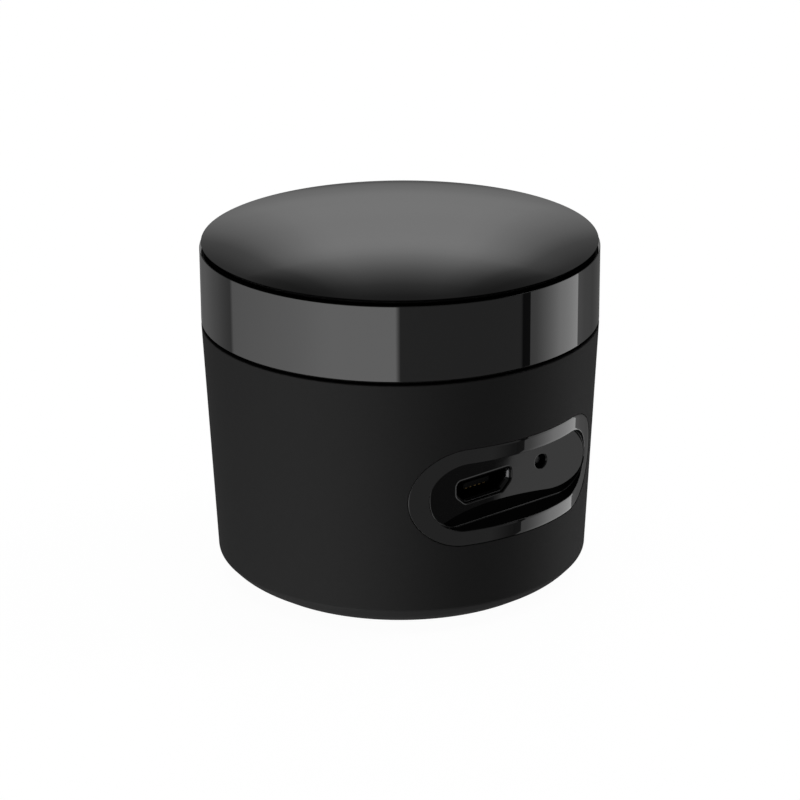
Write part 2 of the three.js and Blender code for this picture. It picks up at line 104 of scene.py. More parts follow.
BAY_Z = (plate_low.z + plate_high.z) / 2
PLATE_Y = plate_low.y
PLATE_BACK_Y = plate_high.y
PLATE_HALF_WIDTH = plate_high.x
PLATE_HALF_HEIGHT = (plate_high.z - plate_low.z) / 2
PLATE_GAP = 0.1
BAY_HALF_WIDTH = PLATE_HALF_WIDTH + PLATE_GAP
BAY_HALF_HEIGHT = PLATE_HALF_HEIGHT + PLATE_GAP
BEZEL_HALF_WIDTH = BAY_HALF_WIDTH + 2
BEZEL_HALF_HEIGHT = BAY_HALF_HEIGHT + 1.82
BEZEL_GAP = 0.07
BEZEL_BACK_Y = PLATE_Y + 1.9

SOCKET_X = (socket_low.x + socket_high.x) / 2
SOCKET_Z = (socket_low.z + socket_high.z) / 2
SOCKET_BACK_Y = socket_high.y
RESET_X = (tip_low.x + tip_high.x) / 2
RESET_Z = (tip_low.z + tip_high.z) / 2
RESET_HOLE_RADIUS = 0.85

ROUND_SEGMENTS = 288
SHARP_ANGLE = math.radians(32)

# ---------------------------------------------------------------- camera

CAMERA_AZIMUTH = math.radians(-39.55)
CAMERA_ELEVATION = math.radians(20.48)
CAMERA_DISTANCE = 16 * TOP_RADIUS * MM
CAMERA_TARGET_Z = 0.8761 * TOP_RADIUS * MM
CAMERA_LENS = 141.6
CAMERA_ROLL = -0.0062
CAMERA_SHIFT = -0.0009


def make_camera():
    """A long lens on the object, at the angle of the photograph."""
    data = bpy.data.cameras.new("studio_camera")
    data.sensor_width = 36
    data.lens = CAMERA_LENS
    data.shift_x = CAMERA_SHIFT
    data.clip_start = 0.01
    data.clip_end = 10
    camera = bpy.data.objects.new("studio_camera", data)
    bpy.context.scene.collection.objects.link(camera)
    flat = math.cos(CAMERA_ELEVATION)
    back = Vector((
        math.sin(CAMERA_AZIMUTH) * flat,
        -math.cos(CAMERA_AZIMUTH) * flat,
        math.sin(CAMERA_ELEVATION),
    ))
    camera.location = Vector((0, 0, CAMERA_TARGET_Z)) + back * CAMERA_DISTANCE
    camera.rotation_mode = "QUATERNION"
    level = (-back).to_track_quat("-Z", "Y")
    camera.rotation_quaternion = level @ Quaternion((0, 0, 1), CAMERA_ROLL)
    bpy.context.scene.camera = camera


# ---------------------------------------------------------------- node trees


def math_node(tree, operation, first, second=None):
    """One sum: each of the two values is a number or a socket."""
    node = tree.nodes.new("ShaderNodeMath")
    node.operation = operation
    for index, value in enumerate((first, second)):
        if value is None:
            continue
        if isinstance(value, (int, float)):
            node.inputs[index].default_value = value
        else:
            tree.links.new(value, node.inputs[index])
    return node.outputs[0]


def ramp_node(tree, factor, stops):
    """A ramp of grey levels: stops is a list of (place, level), places from 0 to 1."""
    node = tree.nodes.new("ShaderNodeValToRGB")
    elements = node.color_ramp.elements
    while len(elements) < len(stops):
        elements.new(0.5)
    for element, (place, level) in zip(elements, stops):
        element.position = place
        element.color = (level, level, level, 1)
    tree.links.new(factor, node.inputs[0])
    return node.outputs[0]


def range_node(tree, value, from_low, from_high, to_low, to_high, smooth=False):
    """Fades from to_low to to_high as value goes from from_low to from_high."""
    node = tree.nodes.new("ShaderNodeMapRange")
    node.interpolation_type = "SMOOTHSTEP" if smooth else "LINEAR"
    tree.links.new(value, node.inputs["Value"])
    node.inputs["From Min"].default_value = from_low
    node.inputs["From Max"].default_value = from_high
    node.inputs["To Min"].default_value = to_low
    node.inputs["To Max"].default_value = to_high
    return node.outputs["Result"]


def product(tree, *factors):
    """All the factors multiplied together."""
    result = factors[0]
    for factor in factors[1:]:
        result = math_node(tree, "MULTIPLY", result, factor)
    return result


def total(tree, *terms):
    """All the terms added together."""
    result = terms[0]
    for term in terms[1:]:
        result = math_node(tree, "ADD", result, term)
    return result


def noise_node(tree, vector, size_mm, detail=2.0, roughness=0.5):
    """Noise whose blobs are about size_mm across."""
    node = tree.nodes.new("ShaderNodeTexNoise")
    node.inputs["Scale"].default_value = 1 / (size_mm * MM)
    node.inputs["Detail"].default_value = detail
    node.inputs["Roughness"].default_value = roughness
    tree.links.new(vector, node.inputs["Vector"])
    return node.outputs["Fac"]


# ---------------------------------------------------------------- studio

# The levels and angles of this light were tuned until the reflections fell where the
# picture has them, so they say nothing about the room it was taken in.

# Radiance seen in a level sweep a little below the horizon, by degrees from the camera:
# negative to its left, positive to its right. The steps are the edges of soft boxes.
SWEEP = [
    (-180, 0.16), (-158, 0.2), (-150, 0.27), (-141, 0.32), (-129, 0.36), (-113, 0.32),
    (-112, 0.88), (-97, 1.31), (-78, 1.83), (-61, 2.21), (-46, 2.6), (-38, 2.72),
    (-2.7, 2.76), (-0.4, 0.38), (60, 0.35), (72, 0.34), (74, 0.7), (84, 0.82), (94, 1.38),
    (104, 1.9), (124, 1.9), (132, 1.2), (145, 0.68), (160, 0.56), (180, 0.64),
]
SWEEP_SPAN = (-180, 180)
SWEEP_PEAK = 3.0

# The overhead gradient behind the object, by elevation and by degrees off the view line
BACKLIGHT_RISE = [
    (-12, 0.0), (-6, 0.2), (1, 0.35), (6, 0.5), (10, 0.6), (20, 0.9), (25, 1.1),
    (29, 1.29), (31, 1.33), (33, 1.27), (36, 1.01), (39.4, 0.61), (43, 0.24), (46, 0.07),
    (49, 0.0),
]
RISE_SPAN = (-12, 60)
BACKLIGHT_PEAK = 1.5
BACKLIGHT_SPREAD = [
    (0, 1.0), (5, 1.0), (6.6, 0.95), (8.7, 0.77), (10.5, 0.58), (12.2, 0.33), (14.8, 0.16),
    (20, 0.1), (30, 0.1),
]
SPREAD_SPAN = (0, 30)
STUDIO_LEVEL = 1.25

# Edges of the boxes and flags, in degrees of azimuth or elevation. Each is a fade: where
# it starts, where it ends, and the value before and after it.
FLAG_SHIFT = (-24.8, -18.8, 0.8, 2.6)
FLAG_BOTTOM = (-24, -23.4, 0, 1)
FLAG_TOP = (-20.8, -20.5, 1, 0)
FLAG_DIMMING = (71.6, 74.2, 0, 0.91)
LOW_FLAG_RISE = (57, 72, 0, 0.6)
LOW_FLAG_EDGE = (72, 74, 0, 0.23)
BOX_START = (79.4, 79.5, 1, 0)
BOX_END = (122.8, 123.2, 0, 0.75)
LEAN = (-29, -20.5, 15.3, 0)
LEAN_START = (104, 119, 0, 1)
BOXES_TOP = (-12, -8, 1, 0)
BOXES_BOTTOM = (-90, -70, 0, 1)
TALL_BOX_START = (76, 80, 0, 6)
TALL_BOX_END = (96, 104, 1, 0)
SHORT_BOX_START = (60, 78, 0, 40)
SHORT_BOX_END = (130, 150, 1, 0)
NARROWING = (33.3, 53.3, 1, 1.8)
VEIL = (34, 48, 0, 0.1)
CEILING = (58, 80, 0, 0.75)
SMALL_BOX_SIDES = ((84, 90, 0, 1.8), (110, 116, 1, 0))
SMALL_BOX_ENDS = ((36, 41, 0, 1), (54, 59, 1, 0))


def degrees_ramp(tree, degrees, stops, span, peak):
    """A ramp over a span of degrees, from a list of (degrees, level), levels up to peak."""
    low, high = span
    factor = range_node(tree, degrees, low, high, 0, 1)
    placed = [((at - low) / (high - low), level / peak) for at, level in stops]
    return math_node(tree, "MULTIPLY", ramp_node(tree, factor, placed), peak)


def make_world():
    """Studio surroundings at a distance: soft boxes low round the object and a backlight."""
    world = bpy.data.worlds.new("studio")
    bpy.context.scene.world = world
    world.use_nodes = True
    tree = world.node_tree
    tree.nodes.clear()
    direction = tree.nodes.new("ShaderNodeTexCoord").outputs["Generated"]
    turn = tree.nodes.new("ShaderNodeVectorRotate")
    turn.rotation_type = "Z_AXIS"
    turn.inputs["Angle"].default_value = -CAMERA_AZIMUTH
    tree.links.new(direction, turn.inputs["Vector"])
    axes = tree.nodes.new("ShaderNodeSeparateXYZ")
    tree.links.new(turn.outputs["Vector"], axes.inputs["Vector"])
    right, away, up = axes.outputs
    toward = math_node(tree, "MULTIPLY", away, -1)
    azimuth = math_node(tree, "DEGREES", math_node(tree, "ARCTAN2", right, toward))
    elevation = math_node(tree, "DEGREES", math_node(tree, "ARCSINE", up))
    off_line = math_node(tree, "SUBTRACT", 180, math_node(tree, "ABSOLUTE", azimuth))

    def by_azimuth(fade):
        return range_node(tree, azimuth, *fade)

    def by_elevation(fade, smooth=False):
        return range_node(tree, elevation, *fade, smooth=smooth)

    # The right-hand box: a dark flag covers its near edge, and its far edge leans outwards
    in_flag = by_elevation(FLAG_BOTTOM)
    flag_shift = product(tree, by_elevation(FLAG_SHIFT), in_flag, by_elevation(FLAG_TOP))
    lean = product(tree, by_elevation(LEAN), by_azimuth(LEAN_START))
    shift = total(tree, flag_shift, lean)
    sweep_angle = math_node(tree, "SUBTRACT", azimuth, shift)
    sweep = degrees_ramp(tree, sweep_angle, SWEEP, SWEEP_SPAN, SWEEP_PEAK)
    flag = product(tree, in_flag, range_node(tree, sweep_angle, *FLAG_DIMMING))
    low_flag = product(
        tree,
        math_node(tree, "SUBTRACT", 1, in_flag),
        total(
            tree,
            range_node(tree, sweep_angle, *LOW_FLAG_RISE),
            range_node(tree, sweep_angle, *LOW_FLAG_EDGE),
        ),
    )
    before_box = range_node(tree, sweep_angle, *BOX_START)
    flags = product(tree, total(tree, flag, low_flag), before_box)
    beyond_box = range_node(tree, sweep_angle, *BOX_END)
    for dimming in (flags, beyond_box):
        sweep = product(tree, sweep, math_node(tree, "SUBTRACT", 1, dimming))

    # The boxes end a little under the horizon. On the right they reach a little higher
    # above and much less far below.
    tall_box = product(tree, by_azimuth(TALL_BOX_START), by_azimuth(TALL_BOX_END))
    height = math_node(tree, "SUBTRACT", elevation, tall_box)
    above = range_node(tree, height, *BOXES_TOP, smooth=True)
    short_box = product(tree, by_azimuth(SHORT_BOX_START), by_azimuth(SHORT_BOX_END))
    depth = math_node(tree, "SUBTRACT", elevation, short_box)
    below = range_node(tree, depth, *BOXES_BOTTOM, smooth=True)
    sweep = product(tree, sweep, above, below)

    rise = degrees_ramp(tree, elevation, BACKLIGHT_RISE, RISE_SPAN, BACKLIGHT_PEAK)
    off_axis = product(tree, off_line, by_elevation(NARROWING))
    spread = degrees_ramp(tree, off_axis, BACKLIGHT_SPREAD, SPREAD_SPAN, 1)
    backlight = product(tree, rise, spread)

    # A small box high on the right lights the edges that face up and forwards
    small_box = product(
        tree,
        *[by_azimuth(fade) for fade in SMALL_BOX_SIDES],
        *[by_elevation(fade) for fade in SMALL_BOX_ENDS],
    )
    veil = by_elevation(VEIL, smooth=True)
    ceiling = by_elevation(CEILING, smooth=True)
    light = total(tree, sweep, backlight, veil, ceiling, small_box)
    light = product(tree, light, STUDIO_LEVEL)
    background = tree.nodes.new("ShaderNodeBackground")
    tree.links.new(light, background.inputs["Strength"])
    output = tree.nodes.new("ShaderNodeOutputWorld")
    tree.links.new(background.outputs[0], output.inputs["Surface"])
    bpy.context.scene.view_settings.view_transform = "Standard"


def make_floor():
    """A large pale floor that rises into a pale backdrop all round.

    It glows, and lies a little under the foot. Only the camera sees it, so it neither
    lights the object nor shows in its reflections.
    """
    floor_radius = 2200
    cove_radius = floor_radius * 0.3
    flat_radius = floor_radius - cove_radius
    backdrop_height = 2400
    crown_height = 200
    clearance = 0.02
    glow_strength = 0.97
    paper_level = 0.12
    steps = 16
    curve = [(0, 0), (floor_radius * 0.4, 0), (flat_radius, 0)]
    for step in range(steps + 1):
        angle = math.pi / 2 * step / steps
        reach = cove_radius * math.sin(angle)
        lift = cove_radius * (1 - math.cos(angle))
        curve.append((flat_radius + reach, lift))
    curve.append((floor_radius, backdrop_height))
    curve.append((0, backdrop_height + crown_height))
    mesh = turned_mesh("studio_floor", curve, 96, open_profile=True)
    floor = bpy.data.objects.new("studio_floor", mesh)
    floor.location.z = -clearance * MM
    bpy.context.scene.collection.objects.link(floor)
    material = bpy.data.materials.new("pale_floor")
    material.use_nodes = True
    tree = material.node_tree
    tree.nodes.clear()
    glow = tree.nodes.new("ShaderNodeEmission")
    glow.inputs["Strength"].default_value = glow_strength
    paper = tree.nodes.new("ShaderNodeBsdfDiffuse")
    paper.inputs["Color"].default_value = (paper_level, paper_level, paper_level, 1)
    both = tree.nodes.new("ShaderNodeAddShader")
    tree.links.new(glow.outputs[0], both.inputs[0])
    tree.links.new(paper.outputs[0], both.inputs[1])
    output = tree.nodes.new("ShaderNodeOutputMaterial")
    tree.links.new(both.outputs[0], output.inputs["Surface"])
    mesh.materials.append(material)
    floor.visible_glossy = False
    floor.visible_diffuse = False
    floor.visible_shadow = False
    floor.visible_transmission = False


# ---------------------------------------------------------------- materials


def make_material(name, color, roughness, metallic=0.0, specular=0.5, tint=0.12,
                  tint_mm=6.0, grain_mm=0.2, rough_spread=0.05, bump=0.0, coat=0.0):
    """Moulded, plated or printed stuff: broad tint and fine grain drive its look."""
    material = bpy.data.materials.new(name)
    material.use_nodes = True
    tree = material.node_tree
    shader = tree.nodes["Principled BSDF"]
    shader.inputs["Metallic"].default_value = metallic
    shader.inputs["Specular IOR Level"].default_value = specular
    shader.inputs["Coat Weight"].default_value = coat
    place = tree.nodes.new("ShaderNodeTexCoord").outputs["Object"]

    cloud_share = 0.6
    cloud = noise_node(tree, place, tint_mm, detail=3)
    grain = noise_node(tree, place, grain_mm, detail=2, roughness=0.6)
    mix = tree.nodes.new("ShaderNodeMix")
    mix.data_type = "RGBA"
    mix.inputs["A"].default_value = (*[c * (1 - tint) for c in color], 1)
    mix.inputs["B"].default_value = (*[c * (1 + tint) for c in color], 1)
    blend = total(tree, product(tree, cloud, cloud_share), product(tree, grain, 1 - cloud_share))
    tree.links.new(blend, mix.inputs["Factor"])
    tree.links.new(mix.outputs["Result"], shader.inputs["Base Color"])

    grain_low, grain_high, grain_depth = 0.3, 0.7, 0.1
    low, high = roughness - rough_spread, roughness + rough_spread
    polish = range_node(tree, grain, grain_low, grain_high, low, high)
    tree.links.new(polish, shader.inputs["Roughness"])
    if bump:
        relief = tree.nodes.new("ShaderNodeBump")
        relief.inputs["Strength"].default_value = bump
        relief.inputs["Distance"].default_value = grain_depth * grain_mm * MM
        tree.links.new(grain, relief.inputs["Height"])
        tree.links.new(relief.outputs["Normal"], shader.inputs["Normal"])
    return material


# The three socket looks are much darker than real steel, plastic and gold. They were set
# to match the picture, where the socket is almost black.
MATERIALS = {
    "gloss_black": make_material("gloss_black", (0.0012, 0.0012, 0.0013), 0.024, tint=0.3,
                                 grain_mm=1.5, rough_spread=0.006),
    "band_black": make_material("band_black", (0.001, 0.001, 0.0012), 0.02, tint=0.3,
                                grain_mm=2.0, rough_spread=0.01),
    "soft_black": make_material("soft_black", (0.0014, 0.0014, 0.0015), 0.7, specular=0.25,
                                tint=0.1, grain_mm=0.12, rough_spread=0.03, bump=0.15),
    "rubber": make_material("rubber", (0.006, 0.006, 0.006), 0.8, specular=0.3,
                            grain_mm=0.25, bump=0.4),
    "dark_plastic": make_material("dark_plastic", (0.012, 0.012, 0.013), 0.4,
                                  grain_mm=0.1, bump=0.2),
    "natural_plastic": make_material("natural_plastic", (0.62, 0.6, 0.53), 0.45,
                                     grain_mm=0.3, bump=0.15),
    "smoke_lens": make_material("smoke_lens", (0.012, 0.008, 0.018), 0.08,
                                grain_mm=0.8, rough_spread=0.02, coat=0.3),
    "board_green": make_material("board_green", (0.012, 0.11, 0.045), 0.3, tint=0.25,
                                 tint_mm=2.5, grain_mm=0.15, bump=0.3, coat=0.4),
    "steel": make_material("steel", (0.55, 0.55, 0.56), 0.28, metallic=1.0,
                           grain_mm=0.12, rough_spread=0.06, bump=0.15),
    # The three socket colours below are painted shade: they are darker than real steel, plastic
    # and gold because the deep port bay is in shade.
    "socket_steel_painted_shade": make_material("socket_steel_painted_shade", (0.055, 0.055, 0.056), 0.18, metallic=1.0,
                                  grain_mm=0.3, rough_spread=0.03),
    "socket_core_painted_shade": make_material("socket_core_painted_shade", (0.002, 0.002, 0.002), 0.5, specular=0.05,
                                 grain_mm=0.1, bump=0.1),
    "socket_gold_painted_shade": make_material("socket_gold_painted_shade", (0.13, 0.09, 0.035), 0.4, metallic=1.0,
                                 grain_mm=0.12, rough_spread=0.05),
    "brass": make_material("brass", (0.6, 0.42, 0.16), 0.3, metallic=1.0,
                           grain_mm=0.12, rough_spread=0.07, bump=0.15),
    "gold": make_material("gold", (0.8, 0.56, 0.2), 0.22, metallic=1.0,
                          grain_mm=0.12, rough_spread=0.05, bump=0.1),
}

# ---------------------------------------------------------------- mesh building


def mesh_from(name, work):
    """Turns a bmesh in millimetres into a mesh in metres, smooth but for its sharp edges."""
    bmesh.ops.remove_doubles(work, verts=work.verts, dist=1e-5)
    bmesh.ops.recalc_face_normals(work, faces=work.faces)
    bmesh.ops.scale(work, vec=(MM, MM, MM), verts=work.verts)
    for face in work.faces:
        face.smooth = True
    mesh = bpy.data.meshes.new(name)
    work.to_mesh(mesh)
    work.free()
    mesh.set_sharp_from_angle(angle=SHARP_ANGLE)
    return mesh


def turned_mesh(name, profile, segments=ROUND_SEGMENTS, open_profile=False):
    """Turns a profile of (radius, height) about Z. It closes on itself unless it is open."""
    work = bmesh.new()
    rings = []
    for radius, height in profile:
        if radius < 1e-6:
            rings.append([work.verts.new((0, 0, height))] * segments)
            continue
        ring = []
        for i in range(segments):
            angle = 2 * math.pi * i / segments
            place = (radius * math.cos(angle), radius * math.sin(angle), height)
            ring.append(work.verts.new(place))
        rings.append(ring)
    pairs = list(zip(rings, rings[1:]))
    if not open_profile:
        pairs.append((rings[-1], rings[0]))
    for first, second in pairs:
        join_loops(work, first, second)
    return mesh_from(name, work)


def join_loops(work, first, second):
    """Quads, or triangles to a single point, between two closed loops of equal count."""
    count = len(first)
    for i in range(count):
        corners = []
        ahead = (i + 1) % count
        for vertex in (first[i], first[ahead], second[ahead], second[i]):
            if vertex not in corners:
                corners.append(vertex)
        if len(corners) > 2:
            work.faces.new(corners)


def add_loop(work, points):
    """The new vertices at a list of points."""
    return [work.verts.new(point) for point in points]


def add_piece(name, mesh, material, body, nodes):
    """Stands a mesh in the scene, on its body, in place of its CAD nodes."""
    piece = bpy.data.objects.new(name, mesh)
    bpy.context.scene.collection.objects.link(piece)
    mesh.materials.append(MATERIALS[material])
    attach(piece, body)
    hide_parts(*nodes)
    even = piece.modifiers.new("even_normals", "WEIGHTED_NORMAL")
    even.weight = 100
    even.keep_sharp = True


def filleted(corners, steps=5):
    """A closed profile whose corners (x, y, radius) are rounded by arcs."""
    points = []
    count = len(corners)
    for i in range(count):
        here = Vector(corners[i][:2])
        radius = corners[i][2] if len(corners[i]) > 2 else 0
        if not radius:
            points.append(tuple(here))
            continue
        before = (Vector(corners[i - 1][:2]) - here).normalized()
        after = (Vector(corners[(i + 1) % count][:2]) - here).normalized()
        half = before.angle(after) / 2
        reach = radius / math.tan(half)
        centre = here + (before + after).normalized() * (radius / math.sin(half))
        start = here + before * reach - centre
        end = here + after * reach - centre
        sweep = start.angle(end)
        for step in range(steps + 1):
            t = step / steps
            arc = (start * math.sin((1 - t) * sweep) + end * math.sin(t * sweep)) / math.sin(sweep)
            points.append(tuple(centre + arc))
    return points


def stadium(half_width, half_height, arc_count, straight_count):
    """Points (x, z) round a stadium, anticlockwise from the foot of its right-hand end."""
    straight = half_width - half_height
    points = []
    for side in (1, -1):
        for i in range(arc_count):
            angle = side * math.pi / 2 * (2 * i / arc_count - 1)
            points.append((
                side * (straight + half_height * math.cos(angle)),
                half_height * math.sin(angle),
            ))
        for i in range(straight_count):
            t = i / straight_count
            points.append((side * straight * (1 - 2 * t), side * half_height))
    return points


def offset_outline(points, distance):
    """Moves an anticlockwise outline outwards along its own normals."""
    moved = []
    count = len(points)
    for i in range(count):
        back = Vector(points[i - 1])
        here = Vector(points[i])
        ahead = Vector(points[(i + 1) % count])
        normals = []
        for edge in (here - back, ahead - here):
            if edge.length > 1e-7:
                normals.append(Vector((edge.y, -edge.x)).normalized())
        normal = sum(normals, Vector((0, 0))).normalized()
        lean = normal.dot(normals[0])
        moved.append(tuple(here + normal * (distance / max(lean, 0.5))))
    return moved


# ---------------------------------------------------------------- housing

BODY_CORNERS = [
    (BOTTOM_RADIUS, BODY_BOTTOM_Z, 0.25),
    (TURN_RADIUS, TURN_Z, 5.0),
    (BEVEL_RADIUS, BEVEL_Z, 0.6),
]


def body_radius(z):
    """The radius of the body's tapered side at a height."""
    rise = (z - BEVEL_Z) / (BODY_TOP_Z - BEVEL_Z)
    return BEVEL_RADIUS + rise * (TOP_RADIUS - BEVEL_RADIUS)


def on_cone(x, z):
    """The point of the body's side that is seen at x, z when the port bay is faced."""
    return Vector((x, -math.sqrt(body_radius(z) ** 2 - x ** 2), z))


# The patch of the wall round the bezel's hole, as columns and rows of the turned mesh
PATCH_COLUMNS = 78
PATCH_ROWS = 24
PATCH_MARGIN = 2.2
PATCH_LOW_Z = BAY_Z - BEZEL_HALF_HEIGHT - PATCH_MARGIN
PATCH_HIGH_Z = BAY_Z + BEZEL_HALF_HEIGHT + PATCH_MARGIN
PATCH_LOOPS = 10
HOLE_FILLET = 0.03


def patch_outline():
    """Angle and height of each point round the patch, anticlockwise from its lower right."""
    half_angle = math.pi * PATCH_COLUMNS / ROUND_SEGMENTS
    points = []
    for i in range(PATCH_ROWS):
        points.append((half_angle, PATCH_LOW_Z + (PATCH_HIGH_Z - PATCH_LOW_Z) * i / PATCH_ROWS))
    for i in range(PATCH_COLUMNS):
        points.append((half_angle * (1 - 2 * i / PATCH_COLUMNS), PATCH_HIGH_Z))
    for i in range(PATCH_ROWS):
        points.append((-half_angle, PATCH_HIGH_Z - (PATCH_HIGH_Z - PATCH_LOW_Z) * i / PATCH_ROWS))
    for i in range(PATCH_COLUMNS):
        points.append((-half_angle * (1 - 2 * i / PATCH_COLUMNS), PATCH_LOW_Z))
    return points


def hole_outline(grow):
    """The bezel's hole with one point for each point of the patch outline."""
    radius = BEZEL_HALF_HEIGHT + grow
    straight = BEZEL_HALF_WIDTH - BEZEL_HALF_HEIGHT
    arc = radius * math.pi / 4
    points = []
    for side in (1, -1):
        for i in range(PATCH_ROWS):
            angle = math.pi / 4 * (2 * i / PATCH_ROWS - 1)
            points.append((
                side * (straight + radius * math.cos(angle)),
                side * radius * math.sin(angle),
            ))
        length = 2 * arc + 2 * straight
        for i in range(PATCH_COLUMNS):
            along = length * i / PATCH_COLUMNS
            if along < arc:
                angle = math.pi / 4 + along / radius
                x, z = straight + radius * math.cos(angle), radius * math.sin(angle)
            elif along > length - arc:
                angle = 3 * math.pi / 4 - (length - along) / radius
                x, z = -straight + radius * math.cos(angle), radius * math.sin(angle)
            else:
                x, z = straight - (along - arc), radius
            points.append((side * x, side * z))
    return [(x, BAY_Z + z) for x, z in points]


def wall_patch(work, columns, inset, grow):
    """Fills one wall surface from its patch outline to the bezel's hole."""
    outline = patch_outline()
    hole = [(math.asin(x / (body_radius(z) - inset)), z) for x, z in hole_outline(grow)]
    loops = [columns]
    for step in range(1, PATCH_LOOPS + 1):
        t = 1 - (1 - step / PATCH_LOOPS) ** 1.4
        ring = []
        for (a0, z0), (a1, z1) in zip(outline, hole):
            angle, z = a0 + (a1 - a0) * t, z0 + (z1 - z0) * t
            radius = body_radius(z) - inset
            ring.append((radius * math.sin(angle), -radius * math.cos(angle), z))
        loops.append(add_loop(work, ring))
    for first, second in zip(loops, loops[1:]):
        join_loops(work, first, second)
    return loops[-1]


def build_body():
    """The tapered shell: a turned wall with one hole, for the bezel, and an open base."""
    work = bmesh.new()
    seat_radius = base_high.x + 0.3
    seat_top = base_high.z + 0.25
    lower = filleted(
        [(seat_radius, BODY_BOTTOM_Z, 0.2)] + BODY_CORNERS + [(TOP_RADIUS, BODY_TOP_Z)], 6,
    )[:-1]
    patch_heights = [
        PATCH_LOW_Z + (PATCH_HIGH_Z - PATCH_LOW_Z) * i / PATCH_ROWS for i in range(PATCH_ROWS + 1)
    ]
    top = filleted([
        (body_radius(PATCH_HIGH_Z), PATCH_HIGH_Z),
        (TOP_RADIUS, BODY_TOP_Z, 0.15),
        (TOP_RADIUS - BODY_WALL, BODY_TOP_Z, 0.15),
        (body_radius(PATCH_HIGH_Z) - BODY_WALL, PATCH_HIGH_Z),
    ], 4)[1:-1]
    floor_curve = [
        (body_radius(BODY_FLOOR_Z) - BODY_WALL, BODY_FLOOR_Z),
        (seat_radius + 0.9, seat_top + 0.9),
        (seat_radius, seat_top),
    ]
    outer = [(body_radius(z), z) for z in patch_heights]
    inner = [(body_radius(z) - BODY_WALL, z) for z in reversed(patch_heights)]
    profile = lower + outer + top + inner + floor_curve
    outer_rows = range(len(lower), len(lower) + PATCH_ROWS)
    inner_start = len(lower) + len(outer) + len(top)
    inner_rows = range(inner_start, inner_start + PATCH_ROWS)

    first_angle = -math.pi / 2 - math.pi * PATCH_COLUMNS / ROUND_SEGMENTS
    rings = []
    for radius, z in profile:
        ring = []
        for i in range(ROUND_SEGMENTS):
            angle = first_angle + 2 * math.pi * i / ROUND_SEGMENTS
            ring.append(work.verts.new((radius * math.cos(angle), radius * math.sin(angle), z)))
        rings.append(ring)
    for row in range(len(profile)):
        first, second = rings[row], rings[(row + 1) % len(profile)]
        holed = row in outer_rows or row in inner_rows
        for i in range(PATCH_COLUMNS if holed else 0, ROUND_SEGMENTS):
            ahead = (i + 1) % ROUND_SEGMENTS
            work.faces.new((first[i], first[ahead], second[ahead], second[i]))

    def edge_of(rows):
        """The ring vertices round the patch, in the order of patch_outline."""
        low, high = rings[rows[0]], rings[rows[-1]]
        loop = [rings[row][PATCH_COLUMNS] for row in rows[:-1]]
        loop += [high[i] for i in range(PATCH_COLUMNS, 0, -1)]
        loop += [rings[row][0] for row in reversed(rows[1:])]
        loop += [low[i] for i in range(0, PATCH_COLUMNS)]
        return loop

    outer_index = list(range(len(lower), len(lower) + PATCH_ROWS + 1))
    inner_index = list(reversed(range(inner_start, inner_start + PATCH_ROWS + 1)))
    rim = wall_patch(work, edge_of(outer_index), 0, HOLE_FILLET)
    inner_rim = wall_patch(work, edge_of(inner_index), BODY_WALL, 0)
    steps = 4
    for step in range(1, steps + 1):
        angle = math.pi / 2 * step / steps
        grow = HOLE_FILLET * (1 - math.sin(angle))
        depth = HOLE_FILLET * (1 - math.cos(angle))
        ring = add_loop(work, [
            on_cone(x, z) + Vector((0, depth, 0)) for x, z in hole_outline(grow)
        ])
        join_loops(work, rim, ring)
        rim = ring
    join_loops(work, rim, inner_rim)
    mesh = mesh_from("body_moulding", work)
    add_piece("body_moulding", mesh, "soft_black", HOUSING, ["body_shell"])


def build_band():
    """The glossy ring above the seam, with a skirt that reaches down into the body."""
    inner = TOP_RADIUS - BAND_WALL
    profile = filleted([
        (TOP_RADIUS, BAND_BOTTOM_Z, 0.08),
        (TOP_RADIUS, BAND_TOP_Z, 0.06),
        (inner, BAND_TOP_Z, 0.1),
        (inner, SHELF_Z),
        (SKIRT_RADIUS - SKIRT_WALL, SHELF_Z),
        (SKIRT_RADIUS - SKIRT_WALL, band_low.z, 0.1),
        (SKIRT_RADIUS, band_low.z, 0.2),
        (SKIRT_RADIUS, BAND_BOTTOM_Z),
    ], 4)
    mesh = turned_mesh("window_ring", profile)
    add_piece("window_ring", mesh, "band_black", HOUSING, ["window_band"])


def build_lid():
    """The domed lid, its rounded edge over the band and the lip that centres it."""
    crown_height = lid_high.z - LID_EDGE_Z
    crown_radius = (LID_RADIUS ** 2 + crown_height ** 2) / (2 * crown_height)

    def dome(radius, top):
        return top - crown_radius + math.sqrt(crown_radius ** 2 - radius ** 2)

    outer_steps = 40
    inner_steps = 20
    lip_inner = LIP_RADIUS - LIP_WALL
    under_top = lid_high.z - LID_WALL
    profile = [
        (lip_inner * i / inner_steps, dome(lip_inner * i / inner_steps, under_top))
        for i in range(inner_steps + 1)
    ]
    profile += filleted([
        (lip_inner, lid_low.z, 0.1),
        (LIP_RADIUS, lid_low.z, 0.2),
        (LIP_RADIUS, LID_UNDERSIDE_Z),
        (LID_RADIUS - 0.35, LID_UNDERSIDE_Z),
        (LID_RADIUS - 0.04, LID_EDGE_Z - 0.1),
        (LID_RADIUS, LID_EDGE_Z - 0.03),
    ], 3)
    reach = LID_RADIUS - 0.02
    for i in range(outer_steps, -1, -1):
        radius = reach * i / outer_steps
        profile.append((radius, dome(radius, lid_high.z)))
    mesh = turned_mesh("lid_dome", profile)
    add_piece("lid_dome", mesh, "gloss_black", HOUSING, ["top_lid"])


def build_rings():
    """The gasket in the seam and the seal under the lid."""
    radius = 0.1
    for name, node, width in (("seam_ring", "seam_gasket", 1.35), ("lid_gasket", "lid_seal", 0.8)):
        low, high = box_mm(node)
        profile = filleted([
            (high.x - width, low.z, radius),
            (high.x, low.z, radius),
            (high.x, high.z, radius),
            (high.x - width, high.z, radius),
        ], 4)
        mesh = turned_mesh(name, profile)
        add_piece(name, mesh, "rubber", HOUSING, [node])


